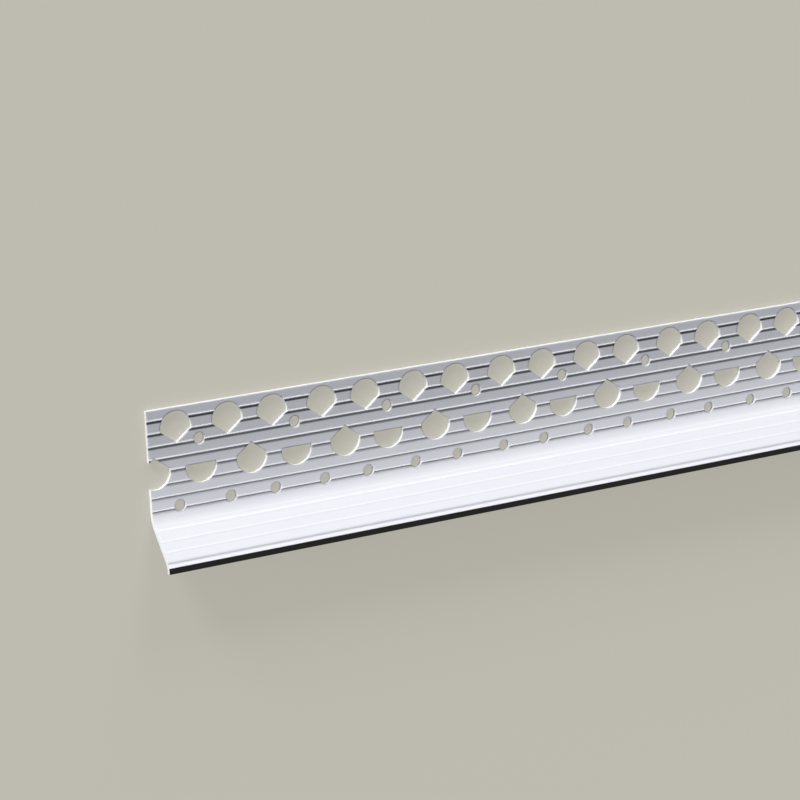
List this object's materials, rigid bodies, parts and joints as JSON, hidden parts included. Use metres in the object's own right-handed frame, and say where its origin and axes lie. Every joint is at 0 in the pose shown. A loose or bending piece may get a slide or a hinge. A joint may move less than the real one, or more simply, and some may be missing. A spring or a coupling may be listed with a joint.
{
  "type": "bellcast render bead",
  "caption": "Straight extruded bead with a punched, ribbed fixing flange that bends into an outward flared bell ending in a drip lip.",
  "frame": {"origin": "middle of the box on the plane that the flange's back lies on", "axes": "+X along the bead, +Y towards the flange's free edge, which is up on the wall, +Z out of the wall towards the render"},
  "size_m": [2.5, 0.0448, 0.0102],
  "materials": {
    "pvc_white": "white extruded PVC-U, satin, fine die lines along its length, black on the drip lip's front face in the visual only"
  },
  "bodies": {
    "root": {"bellcast_bead": "pvc_white"}
  },
  "joints": []
}
